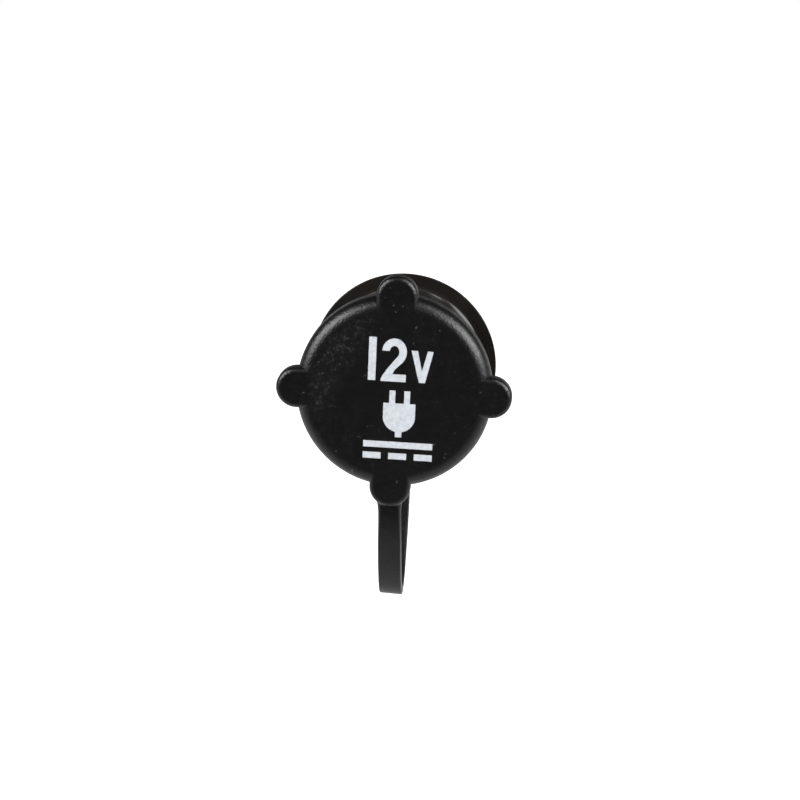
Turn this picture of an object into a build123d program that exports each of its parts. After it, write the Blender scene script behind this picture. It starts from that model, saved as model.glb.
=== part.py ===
from build123d import *
import os
from math import cos, radians

os.makedirs("parts", exist_ok=True)

# Frame: the socket's axis is Y, the mouth faces -Y, +Z is up, and Y = 0 is the panel's front face.
# All lengths are in millimetres and all angles in degrees.

# Contact sleeve
plug_bore_radius = 10.55
plug_depth = 39.0
sleeve_wall = 0.6
sleeve_lip_width = 1.2
sleeve_lip_round = 0.5
cup_depth = 4.0
cup_step = 0.65
cup_hole_radius = 6.2

# Socket body
sleeve_clearance = 0.05
lip_recess_clearance = 0.1
lip_setback = 0.1
barrel_wall = 2.1
register_step = 0.7
register_length = 2.4
mouth_wall = 3.35
mouth_edge_radius = 0.6
seat_taper = 0.6
seat_margin = 0.7
collar_draft = 0.1
collar_length = 23.1
collar_root_fillet = 1.4
flange_width = 3.6
flange_thickness = 2.2
flange_draft = 1.0
flange_edge_radius = 0.2
rear_wall = 2.2
rear_shoulder = 0.8
rear_chamfer = 0.8
lug_radius = 2.6
lug_inset = 2.0

# Base insulator, contacts and their fasteners
insulator_thickness = 3.8
insulator_clearance = 0.2
boss_clearance = 0.2
boss_height = 1.0
contact_head_radius = 4.5
contact_rim_height = 0.4
contact_dome_height = 1.2
contact_shank_radius = 1.6
contact_tail_radius = 2.3
negative_shank_radius = 1.2
negative_head_radius = 1.6
negative_head_height = 0.5
negative_tail_radius = 1.8
rivet_tail_height = 0.6
rivet_edge = 0.25
blade_width = 6.3
blade_thickness = 0.8
blade_length = 14.0
blade_point = 1.2
blade_hole_radius = 0.9
blade_hole_setback = 4.5
positive_blade_offset = 3.6
negative_tab_radius = 2.1
negative_blade_offset = 2.0
screw_radius = 0.9
screw_head_radius = 1.75
screw_head_height = 1.2
screw_head_edge = 0.5
screw_hole_clearance = 0.1
screw_grip = 2.8
screw_slot_width = 0.5
screw_slot_depth = 0.6

# Ring nut
nut_height = 6.5
thread_height = 0.45
nut_thread_clearance = 0.15
nut_register_clearance = 0.3
nut_register_depth = 2.8
nut_flange_width = 2.9
nut_flange_thickness = 2.0
nut_grip_wall = 1.9
nut_flutes = 16
nut_flute_radius = 1.8
nut_flute_depth = 0.7
nut_edge = 0.5
panel_gap = 2.6

# Rubber ring, strap and cap
ring_thickness = 2.4
ring_fit = 0.05
ring_seat_step = 0.6
ring_inset = 0.1
ring_edge = 0.3
tab_length = 2.95
tab_root = 1.5
strap_width = 4.5
strap_thickness = 1.8
strap_edge = 0.75
strap_shift = 1.0
strap_setback = 2.7
strap_drop = 6.9
strap_fold_share = 0.52
strap_fold_depth = 25.8
strap_straight = 5.5
floor_gap = 0.2
seat_clearance = 0.25
face_thickness = 2.2
cap_height = 5.4
skirt_wall = 3.7
cap_edge_radius = 2.8
lip_edge_radius = 0.25
ear_count = 4
ear_radius = 4.0
ear_inset = 0.2
ear_thickness = 4.0
ear_edge_radius = 1.05
neck_length = 2.0
neck_waist = 0.35
neck_flare = 1.0
neck_overlap = 1.6
cap_turn = 2.2

# Radii that follow from the sizes above
sleeve_outer_radius = plug_bore_radius + sleeve_wall
body_bore_radius = sleeve_outer_radius + sleeve_clearance
thread_core_radius = body_bore_radius + barrel_wall
register_radius = thread_core_radius + register_step
mouth_radius = body_bore_radius + mouth_wall
seat_root_radius = mouth_radius + seat_taper
collar_root_radius = seat_root_radius + collar_draft
flange_radius = collar_root_radius + flange_width
flange_back_radius = flange_radius - flange_draft
lip_radius = sleeve_outer_radius + sleeve_lip_width
lip_recess_radius = lip_radius + lip_recess_clearance
cup_inner_radius = plug_bore_radius - cup_step
rear_opening_radius = body_bore_radius - rear_shoulder
screw_circle_radius = body_bore_radius - lug_inset
insulator_radius = body_bore_radius - insulator_clearance
boss_radius = cup_hole_radius - boss_clearance
negative_rivet_height = (cup_hole_radius + cup_inner_radius) / 2
nut_bore_radius = thread_core_radius + thread_height + nut_thread_clearance
nut_register_radius = register_radius + nut_register_clearance
nut_grip_radius = nut_bore_radius + nut_grip_wall
nut_flange_radius = nut_bore_radius + nut_flange_width
flute_circle_radius = nut_grip_radius + nut_flute_radius - nut_flute_depth
ring_radius = flange_back_radius - ring_inset
ring_seat_radius = register_radius + ring_seat_step
ring_bore_radius = ring_seat_radius + ring_fit

# Places along Y that follow from the sizes above
flange_back = -ring_thickness
flange_front = flange_back - flange_thickness
mouth = flange_front - collar_length
lip_front = mouth + lip_setback
lip_back = lip_front + sleeve_wall
step = lip_front + plug_depth
cup_floor = step + cup_depth
insulator_front = cup_floor + sleeve_wall
insulator_back = insulator_front + insulator_thickness
barrel_end = insulator_back + rear_wall
boss_front = cup_floor - boss_height
tab_back = insulator_back + blade_thickness
blade_end = insulator_back + blade_length
blade_hole_place = blade_end - blade_hole_setback
nut_front = panel_gap
nut_back = nut_front + nut_height
cap_floor = mouth - floor_gap
cap_face = cap_floor - face_thickness
cap_lip = cap_face + cap_height
ear_middle = cap_face + ear_thickness / 2

# The tapered seat that the cap's skirt lies on
seat_grip = cap_lip - mouth
seat_length = seat_grip + seat_margin
seat_slope = seat_taper / seat_length
skirt_lip_radius = mouth_radius + seat_slope * seat_grip + seat_clearance
skirt_floor_radius = mouth_radius - seat_slope * floor_gap + seat_clearance
cap_radius = skirt_lip_radius + skirt_wall
ear_circle_radius = cap_radius - ear_inset
ear_root = cap_edge_radius + ear_radius

# The strap's upright plane and its route in it
strap_x = -strap_shift
strap_front = cap_face + strap_setback + strap_thickness / 2
ring_middle = -ring_thickness / 2
ear_bottom = -ear_circle_radius * cos(radians(cap_turn)) - ear_radius
neck_bottom = ear_bottom - neck_length
tab_bottom = -ring_radius - tab_length
bend_corner = tab_bottom - strap_drop
fold_corner = ear_bottom - strap_fold_depth
straight_bottom = neck_bottom - strap_straight
turn_place = ring_middle + strap_fold_share * (strap_front - ring_middle)
turn_height = bend_corner + strap_fold_share * (fold_corner - bend_corner)


def corner(profile, radius, place):
    """The profile's corner that lies nearest to a radius and a place along Y."""
    return profile.vertices().sort_by_distance((radius, place))[0]


# Socket body: collar, flange, register and barrel in one moulding
with BuildPart() as socket_body:
    with BuildSketch() as body_profile:
        with BuildLine():
            Polyline(
                (body_bore_radius, lip_back),
                (lip_recess_radius, lip_back),
                (lip_recess_radius, mouth),
                (mouth_radius, mouth),
                (seat_root_radius, mouth + seat_length),
                (collar_root_radius, flange_front),
                (flange_radius, flange_front),
                (flange_back_radius, flange_back),
                (ring_seat_radius, flange_back),
                (ring_seat_radius, 0),
                (register_radius, 0),
                (register_radius, register_length),
                (thread_core_radius, register_length),
                (thread_core_radius, barrel_end),
                (rear_opening_radius, barrel_end),
                (rear_opening_radius, insulator_back),
                (body_bore_radius, insulator_back),
                close=True,
            )
        make_face()
        fillet(corner(body_profile, mouth_radius, mouth), mouth_edge_radius)
        fillet(corner(body_profile, collar_root_radius, flange_front), collar_root_fillet)
        fillet(corner(body_profile, flange_radius, flange_front), flange_edge_radius)
        chamfer(corner(body_profile, thread_core_radius, barrel_end), rear_chamfer)
    revolve(axis=Axis.Y)
    with BuildSketch(Plane.XZ.offset(-insulator_back)):
        with PolarLocations(screw_circle_radius, 2):
            Circle(lug_radius)
    extrude(amount=-rear_wall)
    with BuildSketch(Plane.XZ.offset(-insulator_back)):
        with PolarLocations(screw_circle_radius, 2):
            Circle(screw_radius + screw_hole_clearance)
    extrude(amount=-rear_wall, mode=Mode.SUBTRACT)
socket_body.part.label = "socket_body"
export_step(socket_body.part, "parts/socket_body.step")

# Contact sleeve: drawn cup with a rolled lip and a stepped bottom
with BuildPart() as contact_sleeve:
    with BuildSketch() as sleeve_profile:
        with BuildLine():
            Polyline(
                (plug_bore_radius, lip_front),
                (lip_radius, lip_front),
                (lip_radius, lip_back),
                (sleeve_outer_radius, lip_back),
                (sleeve_outer_radius, step + sleeve_wall),
                (cup_inner_radius + sleeve_wall, step + sleeve_wall),
                (cup_inner_radius + sleeve_wall, insulator_front),
                (cup_hole_radius, insulator_front),
                (cup_hole_radius, cup_floor),
                (cup_inner_radius, cup_floor),
                (cup_inner_radius, step),
                (plug_bore_radius, step),
                close=True,
            )
        make_face()
        fillet(corner(sleeve_profile, plug_bore_radius, lip_front), sleeve_lip_round)
    revolve(axis=Axis.Y)
    with BuildSketch(Plane.XZ.offset(-cup_floor)):
        with Locations((0, negative_rivet_height)):
            Circle(negative_shank_radius)
    extrude(amount=-sleeve_wall, mode=Mode.SUBTRACT)
contact_sleeve.part.label = "contact_sleeve"
export_step(contact_sleeve.part, "parts/contact_sleeve.step")

# Base insulator: disc behind the sleeve with a boss through the sleeve's bottom
with BuildPart() as base_insulator:
    with BuildSketch(Plane.XZ.offset(-insulator_back)):
        Circle(insulator_radius)
    extrude(amount=insulator_thickness)
    with BuildSketch(Plane.XZ.offset(-insulator_front)):
        Circle(boss_radius)
    extrude(amount=insulator_front - boss_front)
    with BuildSketch(Plane.XZ.offset(-insulator_back)):
        Circle(contact_shank_radius)
        with Locations((0, negative_rivet_height)):
            Circle(negative_shank_radius)
    extrude(amount=insulator_back - boss_front, mode=Mode.SUBTRACT)
    with BuildSketch(Plane.XZ.offset(-insulator_back)):
        with PolarLocations(screw_circle_radius, 2):
            Circle(screw_radius)
    extrude(amount=screw_grip, mode=Mode.SUBTRACT)
base_insulator.part.label = "base_insulator"
export_step(base_insulator.part, "parts/base_insulator.step")

# Centre contact: domed rivet through the boss and the positive terminal
with BuildPart() as centre_contact:
    with BuildSketch() as contact_profile:
        with BuildLine():
            TangentArc(
                (0, boss_front - contact_rim_height - contact_dome_height),
                (contact_head_radius, boss_front - contact_rim_height),
                tangent=(1, 0),
            )
            Polyline(
                (contact_head_radius, boss_front - contact_rim_height),
                (contact_head_radius, boss_front),
                (contact_shank_radius, boss_front),
                (contact_shank_radius, tab_back),
                (contact_tail_radius, tab_back),
                (contact_tail_radius, tab_back + rivet_tail_height),
                (0, tab_back + rivet_tail_height),
                (0, boss_front - contact_rim_height - contact_dome_height),
            )
        make_face()
        fillet(corner(contact_profile, contact_tail_radius, tab_back + rivet_tail_height), rivet_edge)
    revolve(axis=Axis.Y)
centre_contact.part.label = "centre_contact"
export_step(centre_contact.part, "parts/centre_contact.step")

# Positive terminal: blade bent back from a round tab under the centre contact's tail
with BuildPart() as positive_terminal:
    with BuildSketch(Plane.XZ.offset(-tab_back)):
        Circle(blade_width / 2)
        with Locations((0, -positive_blade_offset - blade_thickness)):
            Rectangle(blade_width, positive_blade_offset + blade_thickness, align=(Align.CENTER, Align.MIN))
        Circle(contact_shank_radius, mode=Mode.SUBTRACT)
    extrude(amount=blade_thickness)
    with BuildSketch(Plane.XY.offset(-positive_blade_offset - blade_thickness)) as positive_blade:
        with Locations((0, insulator_back)):
            Rectangle(blade_width, blade_length, align=(Align.CENTER, Align.MIN))
        chamfer(positive_blade.vertices().group_by(Axis.Y)[-1], blade_point)
        with Locations((0, blade_hole_place)):
            Circle(blade_hole_radius, mode=Mode.SUBTRACT)
    extrude(amount=blade_thickness)
positive_terminal.part.label = "positive_terminal"
export_step(positive_terminal.part, "parts/positive_terminal.step")

# Negative terminal: blade bent back from a tab under the negative rivet's tail
negative_blade_top = negative_rivet_height - negative_blade_offset
with BuildPart() as negative_terminal:
    with BuildSketch(Plane.XZ.offset(-tab_back)):
        with Locations((0, negative_rivet_height)):
            Circle(negative_tab_radius)
        with Locations((0, negative_blade_top - blade_thickness)):
            Rectangle(
                2 * negative_tab_radius,
                negative_blade_offset + blade_thickness,
                align=(Align.CENTER, Align.MIN),
            )
        with Locations((0, negative_rivet_height)):
            Circle(negative_shank_radius, mode=Mode.SUBTRACT)
    extrude(amount=blade_thickness)
    with BuildSketch(Plane.XY.offset(negative_blade_top - blade_thickness)) as negative_blade:
        with Locations((0, insulator_back)):
            Rectangle(blade_width, blade_length, align=(Align.CENTER, Align.MIN))
        chamfer(negative_blade.vertices().group_by(Axis.Y)[-1], blade_point)
        with Locations((0, blade_hole_place)):
            Circle(blade_hole_radius, mode=Mode.SUBTRACT)
    extrude(amount=blade_thickness)
negative_terminal.part.label = "negative_terminal"
export_step(negative_terminal.part, "parts/negative_terminal.step")

# Negative rivet: from the sleeve's bottom through the insulator and the negative terminal
with BuildPart() as negative_rivet:
    with BuildSketch(Plane.XZ.offset(-cup_floor)):
        with Locations((0, negative_rivet_height)):
            Circle(negative_head_radius)
    extrude(amount=negative_head_height)
    with BuildSketch(Plane.XZ.offset(-cup_floor)):
        with Locations((0, negative_rivet_height)):
            Circle(negative_shank_radius)
    extrude(amount=cup_floor - tab_back)
    with BuildSketch(Plane.XZ.offset(-tab_back)):
        with Locations((0, negative_rivet_height)):
            Circle(negative_tail_radius)
    extrude(amount=-rivet_tail_height)
    fillet(negative_rivet.faces().sort_by(Axis.Y)[-1].edges(), rivet_edge)
    fillet(negative_rivet.faces().sort_by(Axis.Y)[0].edges(), rivet_edge)
negative_rivet.part.label = "negative_rivet"
export_step(negative_rivet.part, "parts/negative_rivet.step")

# Base screws: two slotted screws through the body's rear lugs into the insulator
with BuildPart() as base_screws:
    with BuildSketch(Plane.XZ.offset(-barrel_end)):
        with PolarLocations(screw_circle_radius, 2):
            Circle(screw_head_radius)
    extrude(amount=-screw_head_height)
    fillet(base_screws.edges().group_by(Axis.Y)[-1], screw_head_edge)
    with BuildSketch(Plane.XZ.offset(-barrel_end)):
        with PolarLocations(screw_circle_radius, 2):
            Circle(screw_radius)
    extrude(amount=rear_wall + screw_grip)
    with BuildSketch(Plane.XZ.offset(-barrel_end - screw_head_height)):
        with PolarLocations(screw_circle_radius, 2):
            Rectangle(screw_slot_width, 3 * screw_head_radius)
    extrude(amount=screw_slot_depth, mode=Mode.SUBTRACT)
base_screws.part.label = "base_screws"
export_step(base_screws.part, "parts/base_screws.step")

# Ring nut: bearing flange in front and a fluted grip behind it
with BuildPart() as ring_nut:
    with BuildSketch() as nut_profile:
        with BuildLine():
            Polyline(
                (nut_register_radius, nut_front),
                (nut_flange_radius, nut_front),
                (nut_flange_radius, nut_front + nut_flange_thickness),
                (nut_grip_radius, nut_front + nut_flange_thickness),
                (nut_grip_radius, nut_back),
                (nut_bore_radius, nut_back),
                (nut_bore_radius, nut_front + nut_register_depth),
                (nut_register_radius, nut_front + nut_register_depth),
                close=True,
            )
        make_face()
        fillet(corner(nut_profile, nut_grip_radius, nut_back), nut_edge)
        fillet(corner(nut_profile, nut_flange_radius, nut_front + nut_flange_thickness), nut_edge)
    revolve(axis=Axis.Y)
    with BuildSketch(Plane.XZ.offset(-nut_back)):
        with PolarLocations(flute_circle_radius, nut_flutes):
            Circle(nut_flute_radius)
    extrude(amount=nut_height - nut_flange_thickness, mode=Mode.SUBTRACT)
ring_nut.part.label = "ring_nut"
export_step(ring_nut.part, "parts/ring_nut.step")

# Tether ring: flat ring behind the flange with a tab for the strap
with BuildPart() as tether_ring:
    with BuildSketch(Plane.XZ):
        Circle(ring_radius)
        Circle(ring_bore_radius, mode=Mode.SUBTRACT)
    extrude(amount=ring_thickness)
    ring_rims = tether_ring.edges().filter_by(GeomType.CIRCLE)
    fillet(ring_rims.filter_by(lambda rim: rim.radius > ring_bore_radius + ring_edge), ring_edge)
    with BuildSketch(Plane.XY.offset(tab_bottom)):
        with Locations((strap_x, ring_middle)):
            RectangleRounded(strap_width, strap_thickness, strap_edge)
    extrude(amount=tab_length + tab_root)
tether_ring.part.label = "tether_ring"
export_step(tether_ring.part, "parts/tether_ring.step")

# Tether strap: down from the ring, forward, folded, and up to the cap's neck
with BuildPart() as tether_strap:
    with BuildSketch(Plane.YZ.offset(strap_x - strap_width / 2)):
        with BuildLine() as strap_route:
            Bezier((ring_middle, tab_bottom), (ring_middle, bend_corner), (turn_place, turn_height))
            Bezier((turn_place, turn_height), (strap_front, fold_corner), (strap_front, straight_bottom))
            Line((strap_front, straight_bottom), (strap_front, neck_bottom))
        trace(strap_route.edges(), line_width=strap_thickness)
    extrude(amount=strap_width)
    strap_sides = tether_strap.faces().filter_by(Axis.X)
    fillet(strap_sides.edges().filter_by(lambda edge: abs(edge.length - strap_thickness) > 0.01), strap_edge)
tether_strap.part.label = "tether_strap"
export_step(tether_strap.part, "parts/tether_strap.step")

# Ears of the cap, flush with its face and rounded by themselves before they join it
with BuildPart() as ears:
    with BuildSketch(Plane.XZ.offset(-cap_face - ear_thickness)):
        with PolarLocations(ear_circle_radius, ear_count, start_angle=-cap_turn):
            Circle(ear_radius)
            Rectangle(ear_root, 2 * ear_radius, align=(Align.MAX, Align.CENTER))
    extrude(amount=ear_thickness)
    fillet(ears.edges().group_by(Axis.Y)[0] + ears.edges().group_by(Axis.Y)[-1], ear_edge_radius)

# Cap: rounded disc with four ears, a neck for the strap and a tapered seat inside
with BuildPart() as cap:
    with BuildSketch() as cap_profile:
        with BuildLine():
            Polyline(
                (0, cap_face),
                (cap_radius, cap_face),
                (cap_radius, cap_lip),
                (0, cap_lip),
                close=True,
            )
        make_face()
        fillet(corner(cap_profile, cap_radius, cap_face), cap_edge_radius)
        fillet(corner(cap_profile, cap_radius, cap_lip), lip_edge_radius)
    revolve(axis=Axis.Y)
    add(ears.part)
    with BuildSketch(Plane.XY.offset(neck_bottom)):
        with Locations((strap_x, strap_front)):
            RectangleRounded(strap_width, strap_thickness, strap_edge)
    with BuildSketch(Plane.XY.offset(ear_bottom)):
        with Locations((strap_x, strap_front)):
            RectangleRounded(strap_width + neck_waist, strap_thickness + neck_waist, strap_edge)
    with BuildSketch(Plane.XY.offset(ear_bottom + neck_overlap)):
        with Locations((strap_x, ear_middle)):
            RectangleRounded(strap_width + neck_flare, strap_thickness + neck_flare, strap_edge)
    loft()
    with BuildSketch():
        with BuildLine():
            Polyline(
                (0, cap_floor),
                (skirt_floor_radius, cap_floor),
                (skirt_lip_radius, cap_lip),
                (0, cap_lip),
                close=True,
            )
        make_face()
    revolve(axis=Axis.Y, mode=Mode.SUBTRACT)
cap.part.label = "cap"
export_step(cap.part, "parts/cap.step")
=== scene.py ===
from math import cos, pi, radians, sin

import bmesh
import bpy
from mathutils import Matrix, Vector


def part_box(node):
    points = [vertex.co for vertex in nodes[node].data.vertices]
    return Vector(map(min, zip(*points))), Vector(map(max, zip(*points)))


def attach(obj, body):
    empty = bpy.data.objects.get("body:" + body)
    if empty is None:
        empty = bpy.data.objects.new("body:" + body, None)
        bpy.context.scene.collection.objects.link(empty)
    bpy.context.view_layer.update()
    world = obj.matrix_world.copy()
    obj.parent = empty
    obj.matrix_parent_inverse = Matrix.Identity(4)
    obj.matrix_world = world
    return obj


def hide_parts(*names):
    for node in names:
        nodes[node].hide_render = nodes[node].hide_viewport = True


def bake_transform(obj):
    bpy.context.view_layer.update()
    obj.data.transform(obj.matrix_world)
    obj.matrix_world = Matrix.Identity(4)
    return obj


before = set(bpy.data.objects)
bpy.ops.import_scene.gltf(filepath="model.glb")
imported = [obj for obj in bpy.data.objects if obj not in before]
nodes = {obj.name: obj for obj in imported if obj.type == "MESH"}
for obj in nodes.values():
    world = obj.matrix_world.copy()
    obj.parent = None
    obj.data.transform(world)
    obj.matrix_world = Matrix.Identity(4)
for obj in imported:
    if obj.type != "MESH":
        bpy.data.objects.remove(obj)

scene = bpy.context.scene
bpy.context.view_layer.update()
MM = 0.001

# Sizes shared with the part's source, in millimetres apart from the share
STRAP_THICKNESS = 1.8
STRAP_EDGE = 0.75
STRAP_DROP = 6.9
STRAP_FOLD_SHARE = 0.52
STRAP_FOLD_DEPTH = 25.8
STRAP_STRAIGHT = 5.5
NECK_LENGTH = 2.0
THREAD_CORE_RADIUS = 13.3
THREAD_HEIGHT = 0.45


def box_mm(node_name):
    """The lowest and highest corner of a solid's box, in millimetres."""
    low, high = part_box(node_name)
    return low / MM, high / MM


# Places worked out from the frame, in millimetres
cap_low = box_mm("cap")[0]
ring_low, ring_high = box_mm("tether_ring")
strap_low, strap_high = box_mm("tether_strap")
nut_low = box_mm("ring_nut")[0]
body_high = box_mm("socket_body")[1]
CAP_FACE = cap_low.y
NECK_BOTTOM = cap_low.z
TAB_BOTTOM = ring_low.z
RING_MIDDLE = (ring_low.y + ring_high.y) / 2
STRAP_WIDTH = strap_high.x - strap_low.x
STRAP_X = (strap_low.x + strap_high.x) / 2
STRAP_FRONT = strap_low.y + STRAP_THICKNESS / 2
EAR_BOTTOM = NECK_BOTTOM + NECK_LENGTH
BEND_CORNER = TAB_BOTTOM - STRAP_DROP
FOLD_CORNER = EAR_BOTTOM - STRAP_FOLD_DEPTH
STRAIGHT_BOTTOM = NECK_BOTTOM - STRAP_STRAIGHT
NUT_FRONT = nut_low.y
BODY_BACK = body_high.y


# Node building, shared by the materials, the floor and the world

# The colour sockets of the mix node share their names with its other sockets, so they go by index
MIX_FIRST = 6
MIX_SECOND = 7
MIX_RESULT = 2


def start_tree(owner):
    """The empty node tree of a material or a world."""
    owner.use_nodes = True
    owner.node_tree.nodes.clear()
    return owner.node_tree


def start_material(name, **sockets):
    """A material with a principled shader whose sockets have the given values."""
    material = bpy.data.materials.new(name)
    tree = start_tree(material)
    output = tree.nodes.new("ShaderNodeOutputMaterial")
    shader = tree.nodes.new("ShaderNodeBsdfPrincipled")
    tree.links.new(shader.outputs["BSDF"], output.inputs["Surface"])
    for socket, value in sockets.items():
        shader.inputs[socket.replace("_", " ")].default_value = value
    return material, tree, shader


def coordinates(tree, scale=(1, 1, 1), turn=(0, 0, 0)):
    """The object's own coordinates in metres, stretched and turned."""
    source = tree.nodes.new("ShaderNodeTexCoord")
    mapping = tree.nodes.new("ShaderNodeMapping")
    mapping.inputs["Scale"].default_value = scale
    mapping.inputs["Rotation"].default_value = turn
    tree.links.new(source.outputs["Object"], mapping.inputs["Vector"])
    return mapping.outputs["Vector"]


def split(tree, vector):
    """The X, Y and Z of a vector, by name."""
    node = tree.nodes.new("ShaderNodeSeparateXYZ")
    tree.links.new(vector, node.inputs["Vector"])
    return node.outputs


def measure(tree, operation, vector, other=(0, 0, 0)):
    """One number from a vector: its length, or its dot product with another."""
    node = tree.nodes.new("ShaderNodeVectorMath")
    node.operation = operation
    node.inputs[1].default_value = other
    tree.links.new(vector, node.inputs[0])
    return node.outputs["Value"]


def noise(tree, vector, scale, detail=3.0, roughness=0.55):
    """Cloudy noise between 0 and 1."""
    node = tree.nodes.new("ShaderNodeTexNoise")
    node.inputs["Scale"].default_value = scale
    node.inputs["Detail"].default_value = detail
    node.inputs["Roughness"].default_value = roughness
    tree.links.new(vector, node.inputs["Vector"])
    return node.outputs["Fac"]


def cells(tree, vector, scale):
    """The distance to the middle of the nearest cell, and that cell's own random tint."""
    node = tree.nodes.new("ShaderNodeTexVoronoi")
    node.inputs["Scale"].default_value = scale
    tree.links.new(vector, node.inputs["Vector"])
    return node.outputs["Distance"], node.outputs["Color"]


def ramp(tree, factor, *stops):
    """A colour that runs between two stops, each a place and a colour."""
    node = tree.nodes.new("ShaderNodeValToRGB")
    for element, (place, colour) in zip(node.color_ramp.elements, stops):
        element.position = place
        element.color = (*colour, 1.0)
    tree.links.new(factor, node.inputs["Fac"])
    return node.outputs["Color"]


# Target ranges for spread
RISING = (0.0, 1.0)
FALLING = (1.0, 0.0)


def spread(tree, value, source=(0.0, 1.0), target=RISING):
    """A value carried from the source range to the target range, and kept inside it."""
    node = tree.nodes.new("ShaderNodeMapRange")
    node.inputs["From Min"].default_value, node.inputs["From Max"].default_value = source
    node.inputs["To Min"].default_value, node.inputs["To Max"].default_value = target
    tree.links.new(value, node.inputs["Value"])
    return node.outputs["Result"]


def combine(tree, operation, first, second):
    """Two values, each a socket or a number, put together by a math node."""
    node = tree.nodes.new("ShaderNodeMath")
    node.operation = operation
    for socket, value in zip(node.inputs, (first, second)):
        if isinstance(value, (int, float)):
            socket.default_value = value
        else:
            tree.links.new(value, socket)
    return node.outputs["Value"]


def mix(tree, factor, colour, tone):
    """A colour that turns into a plain tone as the factor goes from 0 to 1."""
    node = tree.nodes.new("ShaderNodeMix")
    node.data_type = "RGBA"
    tree.links.new(factor, node.inputs["Factor"])
    tree.links.new(colour, node.inputs[MIX_FIRST])
    node.inputs[MIX_SECOND].default_value = (*tone, 1.0)
    return node.outputs[MIX_RESULT]


def bump(tree, height, strength, distance, below=None):
    """A surface normal roughened by a height, on top of another normal if one is given."""
    node = tree.nodes.new("ShaderNodeBump")
    node.inputs["Strength"].default_value = strength
    node.inputs["Distance"].default_value = distance
    tree.links.new(height, node.inputs["Height"])
    if below is not None:
        tree.links.new(below, node.inputs["Normal"])
    return node.outputs["Normal"]


def mirrored_rays(tree, path):
    """1 for what is seen in a reflection or through a clear surface, else 0."""
    return combine(tree, "MAXIMUM", path.outputs["Is Glossy Ray"], path.outputs["Is Transmission Ray"])


def grey(level):
    return (level, level, level)


def in_metres(lengths):
    return tuple(length * MM for length in lengths)


# Rubber of the cap, its strap and its ring

# Where the rubber's looks change, in millimetres
# The first fade is the height over which painted light, a paler tone on the strap's lower front, fades out up
# the neck
STRAP_LIGHT_FADE = (NECK_BOTTOM - 6.23, NECK_BOTTOM + 0.27)
FRONT_FADE = (STRAP_FRONT + 4.5, STRAP_FRONT + 10.5)
RUB_INNER_FADE = (8.0, 11.5)
RUB_OUTER_FADE = (15.0, 16.8)
RUB_SIDE_FADE = (7.5, 12.0)
# The way from the cap's middle to its rubbed side
RUB_DIRECTION = (-0.88, 0.0, 0.48)
# A cell holds a speck where its tint is brighter than this
SPECK_TINT = 0.40
# How far dust hides the rubber, and how much rougher the rub marks are
DUST_COVER = 0.6
MARK_ROUGHNESS = 0.08


def rubbed_area(tree):
    """A crescent inside the rim at the upper left of the cap's face, where it has been rubbed."""
    flat = coordinates(tree, scale=(1, 0, 1))
    radius = measure(tree, "LENGTH", flat)
    toward = measure(tree, "DOT_PRODUCT", flat, RUB_DIRECTION)
    inner = spread(tree, radius, in_metres(RUB_INNER_FADE))
    outer = spread(tree, radius, in_metres(RUB_OUTER_FADE), FALLING)
    side = spread(tree, toward, in_metres(RUB_SIDE_FADE))
    return combine(tree, "MULTIPLY", side, combine(tree, "MULTIPLY", inner, outer))


def rub_marks(tree, place):
    """Short rub marks: strong in the rubbed area, faint in patches elsewhere."""
    slanted = coordinates(tree, scale=(0.8, 1.0, 1.0), turn=(0.3, 0.9, 0.7))
    rub = noise(tree, slanted, scale=1250, detail=8.0, roughness=0.78)
    patch = noise(tree, place, scale=85, detail=2.0, roughness=0.5)
    faint = spread(tree, rub, source=(0.56, 0.72))
    patchy = spread(tree, patch, source=(0.46, 0.62), target=(0.0, 0.5))
    worn = combine(tree, "MULTIPLY", faint, patchy)
    strong = spread(tree, rub, source=(0.52, 0.66), target=(0.05, 1.0))
    scuffed = combine(tree, "MULTIPLY", strong, rubbed_area(tree))
    return combine(tree, "MAXIMUM", worn, scuffed)


def dust_specks(tree, place):
    """Small ragged specks, one in some of the cells."""
    distance, tint = cells(tree, place, scale=760)
    unevenness = noise(tree, place, scale=2400, detail=2.0)
    stretch = spread(tree, unevenness, source=(0.3, 0.7), target=(0.4, 1.8))
    ragged = combine(tree, "MULTIPLY", distance, stretch)
    speck = spread(tree, ragged, source=(0.08, 0.16), target=FALLING)
    chosen = combine(tree, "GREATER_THAN", tint, SPECK_TINT)
    return combine(tree, "MULTIPLY", speck, chosen)


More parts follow.
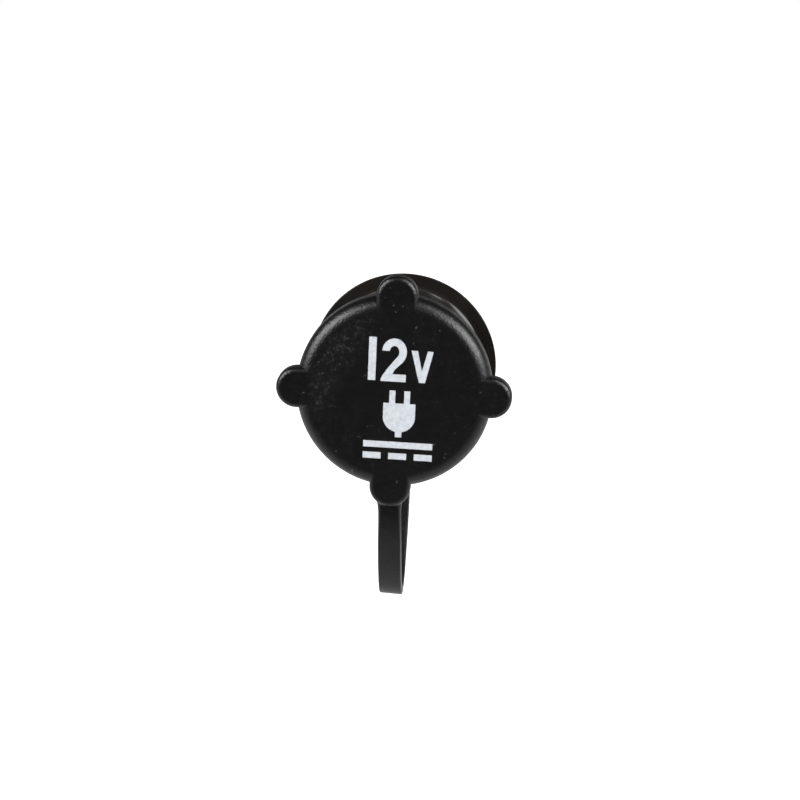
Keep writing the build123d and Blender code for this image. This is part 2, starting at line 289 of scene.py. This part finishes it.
def rubber(name, dark, light, strap_light_tone, mark_tone, dust_tone):
    """Matt moulded rubber: pebbled grain, rub marks and dust, with painted light: a paler tone on the strap's
    lower front, for the light its face catches.
    """
    material, tree, shader = start_material(name, Specular_IOR_Level=0.5)
    place = coordinates(tree)
    mottle = noise(tree, place, scale=260, detail=5.0, roughness=0.6)
    colour = ramp(tree, mottle, (0.35, dark), (0.68, light))

    axes = split(tree, place)
    # Painted light: a paler tone on the strap below the neck and towards the front, for the light its face
    # catches
    lower = spread(tree, axes["Z"], in_metres(STRAP_LIGHT_FADE), FALLING)
    front = spread(tree, axes["Y"], in_metres(FRONT_FADE), FALLING)
    strap_lit = combine(tree, "MULTIPLY", lower, front)
    colour = mix(tree, strap_lit, colour, strap_light_tone)

    marks = rub_marks(tree, place)
    colour = mix(tree, marks, colour, mark_tone)

    dusty = combine(tree, "SUBTRACT", front, strap_lit)
    specks = combine(tree, "MULTIPLY", dust_specks(tree, place), dusty)
    colour = mix(tree, combine(tree, "MULTIPLY", specks, DUST_COVER), colour, dust_tone)
    tree.links.new(colour, shader.inputs["Base Color"])

    gloss = spread(tree, noise(tree, place, scale=900, detail=4.0), target=(0.25, 0.39))
    rougher = combine(tree, "MULTIPLY", marks, MARK_ROUGHNESS)
    tree.links.new(combine(tree, "ADD", gloss, rougher), shader.inputs["Roughness"])

    pebble = noise(tree, place, scale=2500, detail=2.0, roughness=0.6)
    grain = noise(tree, place, scale=6400, detail=3.0, roughness=0.6)
    pebbled = bump(tree, pebble, strength=0.90, distance=0.09 * MM)
    grained = bump(tree, grain, strength=0.20, distance=0.04 * MM, below=pebbled)
    tree.links.new(grained, shader.inputs["Normal"])
    return material


# Plastic, metal and ink

def moulding(name, dark, light, roughness, specular, skin_strength):
    """Injection-moulded plastic: slight flow marks, scuffs in the gloss, and a fine skin."""
    material, tree, shader = start_material(name, Specular_IOR_Level=specular)
    along = coordinates(tree, scale=(1, 0.25, 1))
    flow = noise(tree, along, scale=190, detail=4.0, roughness=0.5)
    tree.links.new(ramp(tree, flow, (0.3, dark), (0.75, light)), shader.inputs["Base Color"])
    slanted = coordinates(tree, scale=(1, 0.12, 1), turn=(0.4, 0.2, 0.3))
    scuff = noise(tree, slanted, scale=900, detail=5.0, roughness=0.65)
    tree.links.new(spread(tree, scuff, (0.3, 0.75), roughness), shader.inputs["Roughness"])
    skin = noise(tree, coordinates(tree), scale=3800)
    tree.links.new(bump(tree, skin, skin_strength, distance=0.04 * MM), shader.inputs["Normal"])
    return material


def metal(name, dark, light, roughness, along=(1, 1, 1), line_strength=0.1):
    """Drawn or rolled metal: stain tones, and fine lines along the way it was worked."""
    material, tree, shader = start_material(name, Metallic=1.0)
    stain = noise(tree, coordinates(tree), scale=240, detail=5.0, roughness=0.6)
    tree.links.new(ramp(tree, stain, (0.32, dark), (0.7, light)), shader.inputs["Base Color"])
    lines = noise(tree, coordinates(tree, along), scale=2600, detail=4.0, roughness=0.6)
    tree.links.new(spread(tree, lines, (0.3, 0.75), roughness), shader.inputs["Roughness"])
    tree.links.new(bump(tree, lines, line_strength, distance=0.02 * MM), shader.inputs["Normal"])
    return material


def ink(name, dark, light, pinhole):
    """Screen-printed ink: a slightly uneven film with pinholes."""
    material, tree, shader = start_material(name, Specular_IOR_Level=0.3)
    place = coordinates(tree)
    film = noise(tree, place, scale=1100, detail=4.0, roughness=0.6)
    colour = ramp(tree, film, (0.3, dark), (0.62, light))
    holes = noise(tree, place, scale=3200, detail=3.0, roughness=0.7)
    open_holes = spread(tree, holes, source=(0.70, 0.78), target=(0.0, 0.75))
    tree.links.new(mix(tree, open_holes, colour, pinhole), shader.inputs["Base Color"])
    tree.links.new(spread(tree, film, target=(0.45, 0.7)), shader.inputs["Roughness"])
    tree.links.new(bump(tree, holes, strength=0.15, distance=0.03 * MM), shader.inputs["Normal"])
    return material


cap_rubber = rubber(
    "cap_rubber",
    dark=(0.0016, 0.0014, 0.0015),
    light=(0.0034, 0.0031, 0.0032),
    # Painted light: the paler tone for the strap's lower front
    strap_light_tone=(0.0145, 0.0139, 0.0136),
    mark_tone=grey(0.032),
    dust_tone=grey(0.15),
)
body_plastic = moulding(
    "body_plastic",
    dark=(0.0088, 0.0077, 0.0068),
    light=(0.0140, 0.0122, 0.0106),
    roughness=(0.14, 0.24),
    specular=0.35,
    skin_strength=0.04,
)
nut_plastic = moulding(
    "nut_plastic",
    dark=grey(0.010),
    light=grey(0.017),
    roughness=(0.42, 0.6),
    specular=0.4,
    skin_strength=0.18,
)
insulator_plastic = moulding(
    "insulator_plastic",
    dark=(0.050, 0.026, 0.014),
    light=(0.090, 0.050, 0.028),
    roughness=(0.4, 0.6),
    specular=0.4,
    skin_strength=0.2,
)
plated_steel = metal(
    "plated_steel",
    dark=(0.42, 0.41, 0.39),
    light=(0.66, 0.65, 0.62),
    roughness=(0.24, 0.36),
    along=(1, 0.12, 1),
    line_strength=0.03,
)
tinned_brass = metal(
    "tinned_brass",
    dark=(0.52, 0.51, 0.48),
    light=(0.72, 0.71, 0.68),
    roughness=(0.24, 0.42),
    along=(0.08, 1, 1),
)
bare_brass = metal(
    "bare_brass",
    dark=(0.50, 0.34, 0.13),
    light=(0.78, 0.58, 0.27),
    roughness=(0.2, 0.38),
)
zinc_steel = metal(
    "zinc_steel",
    dark=(0.40, 0.41, 0.42),
    light=(0.64, 0.65, 0.66),
    roughness=(0.22, 0.4),
)
white_ink = ink(
    "white_ink",
    dark=(0.465, 0.490, 0.525),
    light=(0.580, 0.610, 0.648),
    pinhole=grey(0.05),
)

for node_name, material in {
    "cap": cap_rubber,
    "tether_ring": cap_rubber,
    "socket_body": body_plastic,
    "ring_nut": nut_plastic,
    "base_insulator": insulator_plastic,
    "contact_sleeve": plated_steel,
    "centre_contact": bare_brass,
    "negative_rivet": bare_brass,
    "positive_terminal": tinned_brass,
    "negative_terminal": tinned_brass,
    "base_screws": zinc_steel,
}.items():
    mesh = nodes[node_name].data
    mesh.materials.clear()
    mesh.materials.append(material)


# Mesh building

def piece(name, vertices, faces, material, body=None, slot=None, smooth=True):
    """A mesh in the shared frame, given in millimetres, that rides on a body if one is named."""
    mesh = bpy.data.meshes.new(name)
    mesh.from_pydata([Vector(vertex) * MM for vertex in vertices], [], faces)
    work = bmesh.new()
    work.from_mesh(mesh)
    bmesh.ops.recalc_face_normals(work, faces=work.faces)
    work.to_mesh(mesh)
    work.free()
    for polygon in mesh.polygons:
        polygon.use_smooth = smooth
    mesh.materials.append(material)
    made = bpy.data.objects.new(name, mesh)
    scene.collection.objects.link(made)
    if body:
        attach(made, body)
    return made


def tube(rings):
    """The points of a row of rings, and the faces that join each ring to the next, with the two ends last."""
    points = [point for ring in rings for point in ring]
    around = len(rings[0])
    last_ring = len(points) - around
    faces = []
    for base in range(0, last_ring, around):
        for j in range(around):
            k = (j + 1) % around
            faces.append((base + j, base + k, base + around + k, base + around + j))
    faces.append(tuple(range(around)))
    faces.append(tuple(range(last_ring, len(points))))
    return points, faces


def ease(value, low, high):
    """A smooth step from 0 at low to 1 at high."""
    share = min(1.0, max(0.0, (value - low) / (high - low)))
    return share * share * (3 - 2 * share)


# Strap: the same route as its solid, with many stations along it

STRAP_SHARP_EDGE = 0.25
STRAP_TWIST = radians(4.0)
NECK_OVERLAP = 1.9
CORNER_STEPS = 4
BEND_STATIONS = 44
FOLD_STATIONS = 60
STRAIGHT_STEPS = 12
# Stations, counted from the ring and from the cap, over which the edges sharpen and the twist sets in
SHARP_FROM_RING = (6, 24)
SHARP_FROM_CAP = (4, 14)
TWIST_FROM_RING = (0, 16)
TWIST_FROM_CAP = (6, 22)


def curve(first, handle, last, count):
    """Places and headings along a curve from first to last that leans to a handle."""
    first, handle, last = Vector(first), Vector(handle), Vector(last)
    stations = []
    for n in range(count):
        t = n / count
        place = first * (1 - t) ** 2 + handle * (2 * t * (1 - t)) + last * t ** 2
        heading = (handle - first) * (1 - t) + (last - handle) * t
        stations.append((place, heading.normalized()))
    return stations


def strap_route():
    """Places and headings in the strap's middle plane, from the ring's tab to the cap's neck."""
    bend = Vector((RING_MIDDLE, BEND_CORNER))
    fold = Vector((STRAP_FRONT, FOLD_CORNER))
    between = bend.lerp(fold, STRAP_FOLD_SHARE)
    route = curve((RING_MIDDLE, TAB_BOTTOM), bend, between, BEND_STATIONS)
    route += curve(between, fold, (STRAP_FRONT, STRAIGHT_BOTTOM), FOLD_STATIONS)
    straight = NECK_BOTTOM + NECK_OVERLAP - STRAIGHT_BOTTOM
    for n in range(STRAIGHT_STEPS + 1):
        height = STRAIGHT_BOTTOM + straight * n / STRAIGHT_STEPS
        route.append((Vector((STRAP_FRONT, height)), Vector((0, 1))))
    return route


def rounded_section(width, thickness, radius):
    """Points around a flat band's section, in order."""
    points = []
    for cx, cy, from_angle in ((1, 1, 0), (-1, 1, 90), (-1, -1, 180), (1, -1, 270)):
        for n in range(CORNER_STEPS + 1):
            angle = radians(from_angle + 90 * n / CORNER_STEPS)
            points.append((
                cx * (width / 2 - radius) + radius * cos(angle),
                cy * (thickness / 2 - radius) + radius * sin(angle),
            ))
    return points


def strap_rings(route):
    """A ring of points for each station; between its ends the band has crisper edges and a slight twist."""
    rings = []
    for from_ring, (place, heading) in enumerate(route):
        from_cap = len(route) - 1 - from_ring
        sharp = ease(from_ring, *SHARP_FROM_RING) * ease(from_cap, *SHARP_FROM_CAP)
        twist = STRAP_TWIST * ease(from_ring, *TWIST_FROM_RING) * ease(from_cap, *TWIST_FROM_CAP)
        edge = STRAP_EDGE + (STRAP_SHARP_EDGE - STRAP_EDGE) * sharp
        normal = Vector((-heading.y, heading.x))
        ring = []
        for across, through in rounded_section(STRAP_WIDTH, STRAP_THICKNESS, edge):
            sideways = across * cos(twist) - through * sin(twist)
            outward = across * sin(twist) + through * cos(twist)
            spot = place + normal * outward
            ring.append((STRAP_X + sideways, spot.x, spot.y))
        rings.append(ring)
    return rings


strap = piece("strap_rubber", *tube(strap_rings(strap_route())), cap_rubber, slot="cap_rubber")
for end_face in list(strap.data.polygons)[-2:]:
    end_face.use_smooth = False
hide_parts("tether_strap")
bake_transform(strap)


# Thread on the barrel: one helical ridge that fades out at both ends

THREAD_FROM = NUT_FRONT + 0.5
THREAD_TO = BODY_BACK - 3.4
THREAD_PITCH = 2.0
THREAD_HALF_FOOT = 0.72
THREAD_HALF_CREST = 0.26
THREAD_SUNK = 0.06
THREAD_STEPS_PER_TURN = 72
RUNOUT_TURNS = 0.4
RUNOUT_WIDTH_SHARE = 0.35


def thread_rings():
    """The ridge's section, from foot to foot, at each step along the helix."""
    turns = (THREAD_TO - THREAD_FROM) / THREAD_PITCH
    steps = round(turns * THREAD_STEPS_PER_TURN)
    rings = []
    for n in range(steps + 1):
        share = n / steps
        angle = 2 * pi * turns * share
        middle = THREAD_FROM + (THREAD_TO - THREAD_FROM) * share
        fade = min(1.0, share * turns / RUNOUT_TURNS, (1 - share) * turns / RUNOUT_TURNS)
        width_share = RUNOUT_WIDTH_SHARE + (1 - RUNOUT_WIDTH_SHARE) * fade
        foot = THREAD_CORE_RADIUS - THREAD_SUNK
        crest = THREAD_CORE_RADIUS + THREAD_HEIGHT * fade
        ring = []
        for along, radius in (
            (-THREAD_HALF_FOOT, foot),
            (-THREAD_HALF_CREST, crest),
            (THREAD_HALF_CREST, crest),
            (THREAD_HALF_FOOT, foot),
        ):
            ring.append((radius * cos(angle), middle + along * width_share, radius * sin(angle)))
        rings.append(ring)
    return rings


piece("barrel_thread", *tube(thread_rings()), body_plastic, body="socket", slot="body_plastic", smooth=False)


# Print on the cap's face, in millimetres from the middle of the cap

PRINT_TURN = radians(-2.4)
PRINT_LIFT = 0.04
PRINT_SUNK = 0.02


def on_face(x, z, lift):
    """A point of the print, turned with the cap."""
    across = x * cos(PRINT_TURN) - z * sin(PRINT_TURN)
    up = x * sin(PRINT_TURN) + z * cos(PRINT_TURN)
    return (across, CAP_FACE - lift, up)


def slab(outlines):
    """Thin printed shapes: each outline becomes a top face, a bottom face and its edge."""
    vertices = []
    faces = []
    for outline in outlines:
        base = len(vertices)
        count = len(outline)
        vertices += [on_face(x, z, PRINT_LIFT) for x, z in outline]
        vertices += [on_face(x, z, -PRINT_SUNK) for x, z in outline]
        faces.append(tuple(base + n for n in range(count)))
        faces.append(tuple(base + 2 * count - 1 - n for n in range(count)))
        for n in range(count):
            m = (n + 1) % count
            faces.append((base + n, base + count + n, base + count + m, base + m))
    return vertices, faces


def rectangle(left, bottom, right, top):
    return [(left, bottom), (right, bottom), (right, top), (left, top)]


def oval(middle, half_sizes, angles):
    """Points of an oval at the given angles in degrees."""
    x, z = middle
    wide, high = half_sizes
    return [(x + wide * cos(radians(angle)), z + high * sin(radians(angle))) for angle in angles]


# Rating: the digits and a small letter
STROKE = 1.46
ONE_LEFT = -5.0
ONE_BOTTOM = 2.48
ONE_TOP = 10.96
TWO_MIDDLE = (-0.06, 8.2)
TWO_OUTER = (2.38, 2.67)
TWO_INNER = (0.92, 1.2)
TWO_LEFT = -2.55
TWO_RIGHT = 2.31
TWO_BOTTOM = 2.4
LETTER_BOTTOM = 2.45
LETTER_TOP = 8.68

one = rectangle(ONE_LEFT, ONE_BOTTOM, ONE_LEFT + STROKE, ONE_TOP)

foot_top = TWO_BOTTOM + STROKE
two = oval(TWO_MIDDLE, TWO_OUTER, range(176, -39, -6))
two += [(1.55, 6.17), (0.13, 4.79), (-0.3, foot_top)]
two += [(TWO_RIGHT, foot_top), (TWO_RIGHT, TWO_BOTTOM), (TWO_LEFT, TWO_BOTTOM)]
two += [(-2.5, 2.9), (-2.16, 3.6), (-1.43, 4.73), (-0.41, 6.09), (0.31, 7.0)]
two += oval(TWO_MIDDLE, TWO_INNER, range(-38, 177, 6))

letter = [(3.18, LETTER_TOP), (4.42, LETTER_TOP), (5.33, 4.7), (6.32, LETTER_TOP), (7.44, LETTER_TOP)]
letter += [(6.02, LETTER_BOTTOM), (4.84, LETTER_BOTTOM)]

piece("rating_print", *slab([one, two, letter]), white_ink, body="cap", smooth=False)

# Plug with the sign for direct current: a long bar over three short ones
PLUG_MIDDLE = (1.3, -4.95)
PLUG_HALF_WIDTH = 3.1
PLUG_TOP = 3.1
PRONG_INNER = 0.85
PRONG_OUTER = 2.0
PRONG_TOP = 5.6
BOWL_MIDDLE = (0.0, 0.4)
BOWL_HALF_SIZES = (PLUG_HALF_WIDTH, 3.0)
CORD_HALF_WIDTH = 0.62
CORD_BOTTOM = -3.6
BAR_LEFT = -5.4
BAR_RIGHT = 8.0
BAR_HEIGHT = 1.25
LONG_BAR_BOTTOM = -10.75
SHORT_BAR_BOTTOM = -13.0
SHORT_BAR_LENGTH = 3.5
SHORT_BAR_STEP = 4.95
SHORT_BAR_COUNT = 3

right_half = [(PRONG_INNER, PLUG_TOP), (PRONG_INNER, PRONG_TOP), (PRONG_OUTER, PRONG_TOP)]
right_half += [(PRONG_OUTER, PLUG_TOP), (PLUG_HALF_WIDTH, PLUG_TOP)]
right_half += oval(BOWL_MIDDLE, BOWL_HALF_SIZES, range(0, -79, -6))
right_half += [(CORD_HALF_WIDTH, CORD_BOTTOM)]
left_half = [(-x, z) for x, z in reversed(right_half)]
plug = [(x + PLUG_MIDDLE[0], z + PLUG_MIDDLE[1]) for x, z in right_half + left_half]

bars = [rectangle(BAR_LEFT, LONG_BAR_BOTTOM, BAR_RIGHT, LONG_BAR_BOTTOM + BAR_HEIGHT)]
for n in range(SHORT_BAR_COUNT):
    left = BAR_LEFT + SHORT_BAR_STEP * n
    bars.append(rectangle(left, SHORT_BAR_BOTTOM, left + SHORT_BAR_LENGTH, SHORT_BAR_BOTTOM + BAR_HEIGHT))

piece("plug_print", *slab([plug] + bars), white_ink, body="cap", smooth=False)


# Floor, in metres: darker in front, and white to the camera away from the object's shadow

FLOOR_LEVEL = -0.22
FLOOR_FRONT = -0.37
FLOOR_REACH = 4.0
FLOOR_MIRRORED = 0.15


def floor_material():
    """A diffuse floor that catches shadows, with a glow that the camera sees."""
    material = bpy.data.materials.new("pale_floor")
    tree = start_tree(material)
    output = tree.nodes.new("ShaderNodeOutputMaterial")
    diffuse = tree.nodes.new("ShaderNodeBsdfDiffuse")
    glow = tree.nodes.new("ShaderNodeEmission")
    total = tree.nodes.new("ShaderNodeAddShader")
    path = tree.nodes.new("ShaderNodeLightPath")
    ground = tree.nodes.new("ShaderNodeTexCoord").outputs["Object"]
    backward = spread(tree, split(tree, ground)["Y"], source=(-0.34, 0.02))
    shade = ramp(tree, backward, (0.0, grey(0.12)), (1.0, grey(0.56)))
    tree.links.new(shade, diffuse.inputs["Color"])
    paler = spread(tree, measure(tree, "LENGTH", ground), source=(0.25, 0.7), target=(0.45, 1.0))
    mirrored = combine(tree, "MULTIPLY", mirrored_rays(tree, path), FLOOR_MIRRORED)
    seen = combine(tree, "MAXIMUM", path.outputs["Is Camera Ray"], mirrored)
    tree.links.new(combine(tree, "MULTIPLY", paler, seen), glow.inputs["Strength"])
    tree.links.new(diffuse.outputs["BSDF"], total.inputs[0])
    tree.links.new(glow.outputs["Emission"], total.inputs[1])
    tree.links.new(total.outputs["Shader"], output.inputs["Surface"])
    return material


floor_corners = [
    (x, y, FLOOR_LEVEL)
    for x, y in rectangle(-FLOOR_REACH, FLOOR_FRONT, FLOOR_REACH, FLOOR_REACH)
]
floor_mesh = bpy.data.meshes.new("floor")
floor_mesh.from_pydata(floor_corners, [], [(0, 1, 2, 3)])
floor_mesh.materials.append(floor_material())
floor = bpy.data.objects.new("floor", floor_mesh)
scene.collection.objects.link(floor)


# World: white to the camera, a dim room with a paler wall behind in reflections, soft light elsewhere

ROOM_LEVEL = 0.06
WALL_LEVEL = 0.16
SOFT_LEVEL = 0.35

world = bpy.data.worlds.new("studio")
scene.world = world
tree = start_tree(world)
output = tree.nodes.new("ShaderNodeOutputWorld")
background = tree.nodes.new("ShaderNodeBackground")
background.inputs["Color"].default_value = (*grey(1), 1)
path = tree.nodes.new("ShaderNodeLightPath")
sides = split(tree, tree.nodes.new("ShaderNodeTexCoord").outputs["Generated"])
behind = spread(tree, sides["Y"], source=(0.1, 0.5))
above = spread(tree, sides["Z"], source=(0.04, 0.40), target=(WALL_LEVEL, 0.0))
below = spread(tree, sides["Z"], source=(-0.06, 0.04), target=(1.0 - WALL_LEVEL - ROOM_LEVEL, 0.0))
wall = combine(tree, "MULTIPLY", behind, combine(tree, "ADD", above, below))
backdrop = combine(tree, "ADD", ROOM_LEVEL, wall)
change = combine(tree, "SUBTRACT", backdrop, SOFT_LEVEL)
mirrored = combine(tree, "MULTIPLY", mirrored_rays(tree, path), change)
level = combine(tree, "ADD", SOFT_LEVEL, mirrored)
level = combine(tree, "MAXIMUM", level, path.outputs["Is Camera Ray"])
tree.links.new(level, background.inputs["Strength"])
tree.links.new(background.outputs["Background"], output.inputs["Surface"])


# Lamps, in metres and watts

LAMP_AIM = Vector((0, -0.015, 0))


def lamp(name, place, size, power):
    """A rectangular lamp that faces the object."""
    light = bpy.data.lights.new(name, "AREA")
    light.shape = "RECTANGLE"
    light.size, light.size_y = size
    light.energy = power
    made = bpy.data.objects.new(name, light)
    made.location = place
    made.rotation_euler = (LAMP_AIM - Vector(place)).to_track_quat("-Z", "Y").to_euler()
    scene.collection.objects.link(made)


lamp("soft_left", place=(-0.74, -0.43, 0.44), size=(0.67, 0.63), power=11.2)
lamp("soft_right", place=(0.80, -0.34, 0.42), size=(0.82, 0.58), power=12.9)
lamp("soft_top", place=(0.0, -0.55, 0.72), size=(0.9, 0.4), power=0.6)
lamp("glint_top", place=(0.38, -0.22, 0.75), size=(0.26, 0.12), power=1.1)


# Camera, in metres: fitted to the cap's outline, its ears and the flange behind it

TARGET = Vector((0, -0.0273, 0))
AZIMUTH = radians(4.796)
ELEVATION = radians(13.502)
DISTANCE = 0.42

toward_camera = Vector((
    sin(AZIMUTH) * cos(ELEVATION),
    -cos(AZIMUTH) * cos(ELEVATION),
    sin(ELEVATION),
))
camera_data = bpy.data.cameras.new("camera")
camera_data.sensor_width = 36
camera_data.lens = 97.92
camera_data.shift_x = 0.0071
camera_data.shift_y = -0.0120
camera_data.clip_start = 0.01
camera = bpy.data.objects.new("camera", camera_data)
camera.location = TARGET + toward_camera * DISTANCE
camera.rotation_euler = (-toward_camera).to_track_quat("-Z", "Y").to_euler()
scene.collection.objects.link(camera)
scene.camera = camera
scene.view_settings.view_transform = "Standard"
